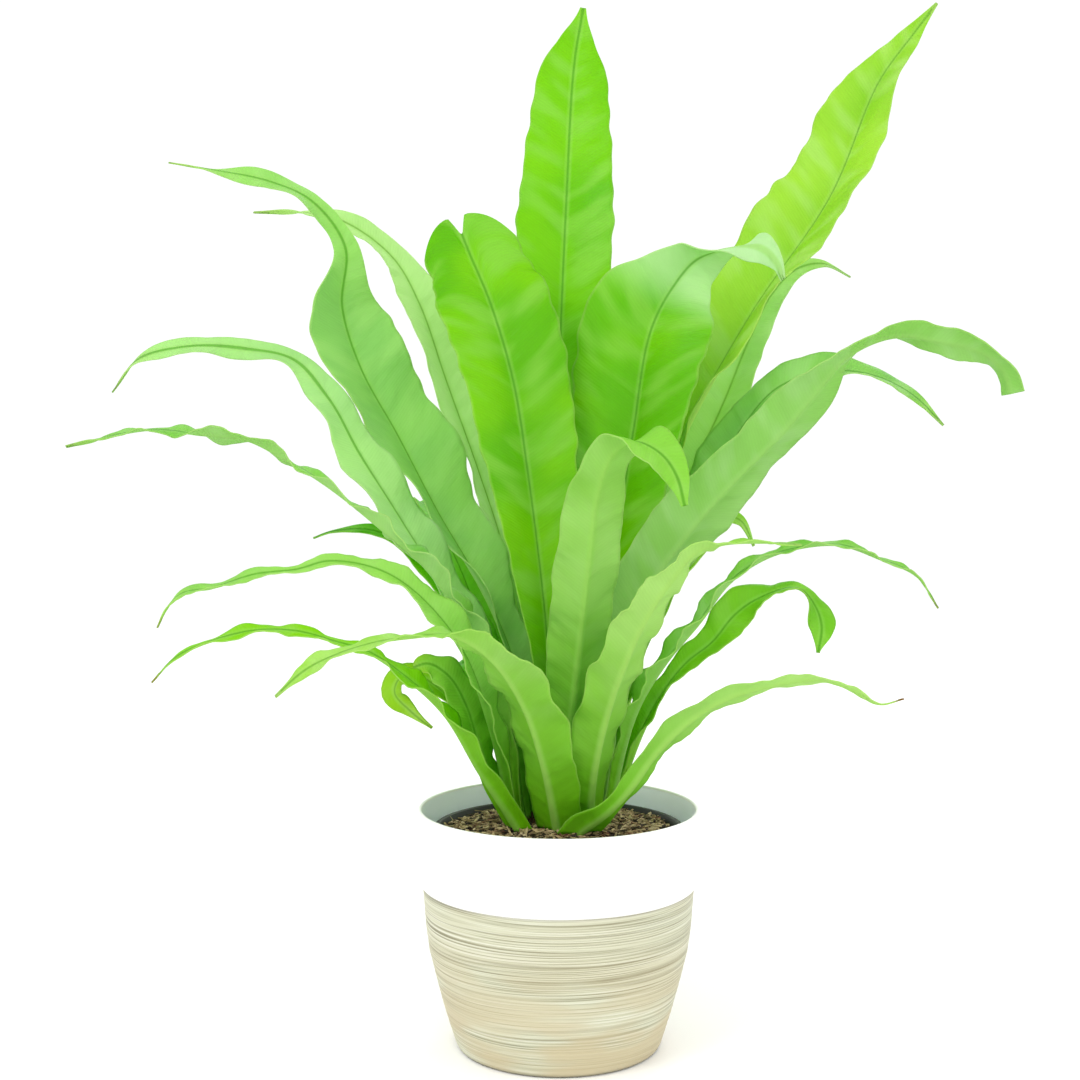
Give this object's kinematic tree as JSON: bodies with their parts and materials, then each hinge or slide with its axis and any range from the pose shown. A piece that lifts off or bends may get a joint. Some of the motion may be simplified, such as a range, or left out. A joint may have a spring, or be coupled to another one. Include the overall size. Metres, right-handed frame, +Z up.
{
  "type": "potted bird's nest fern",
  "caption": "Bird's nest fern with upright, arching and drooping strap-shaped fronds, in potting mix in a black grow pot inside a white cover pot with a ribbed lower part.",
  "frame": {"origin": "middle of the cover pot's flat foot, on the surface it stands on", "axes": "+Z up along the pot's axis, +X to the right and -Y towards the viewer in the picture"},
  "size_m": [0.5547, 0.3695, 0.6478],
  "materials": {
    "white_pot_plastic": "satin white, with a fibrous beige and grey lower part",
    "black_pot_plastic": "satin black",
    "potting_mix": "matt brown chips and fibre",
    "rootstock": "matt brown scales",
    "young_green_frond": "satin, thin and translucent",
    "bright_green_frond": "satin, thin and translucent",
    "deep_green_frond": "satin, thin and translucent",
    "blue_green_frond": "satin, thin and translucent"
  },
  "bodies": {
    "root": {"cover_pot": "white_pot_plastic", "grow_pot": "black_pot_plastic", "soil": "potting_mix", "crown": "rootstock", "frond_tall_back": "bright_green_frond", "frond_notched": "bright_green_frond", "frond_curled_tip": "bright_green_frond", "frond_tall_right": "young_green_frond", "frond_twisted_left": "bright_green_frond", "frond_pale_left": "young_green_frond", "frond_pale_right": "young_green_frond", "frond_front_folded": "bright_green_frond", "frond_broad_right": "blue_green_frond", "frond_arched_left": "bright_green_frond", "frond_arched_right": "blue_green_frond", "frond_long_left": "blue_green_frond", "frond_short_left": "deep_green_frond", "frond_wavy_left": "bright_green_frond", "frond_front_left": "young_green_frond", "frond_front_right": "young_green_frond", "frond_grey_right": "blue_green_frond", "frond_bent_right": "bright_green_frond", "frond_low_right": "young_green_frond", "frond_low_left": "bright_green_frond", "frond_yellow_tip": "young_green_frond", "frond_blunt_left": "bright_green_frond", "frond_small_right": "young_green_frond", "frond_small_left": "bright_green_frond", "frond_rear_tall_left": "bright_green_frond", "frond_rear_tall_right": "bright_green_frond", "frond_rear_left": "bright_green_frond", "frond_rear_low_middle": "young_green_frond", "frond_rear_low_left": "deep_green_frond", "frond_rear_low_right": "bright_green_frond", "frond_rear_small": "deep_green_frond"}
  },
  "joints": []
}
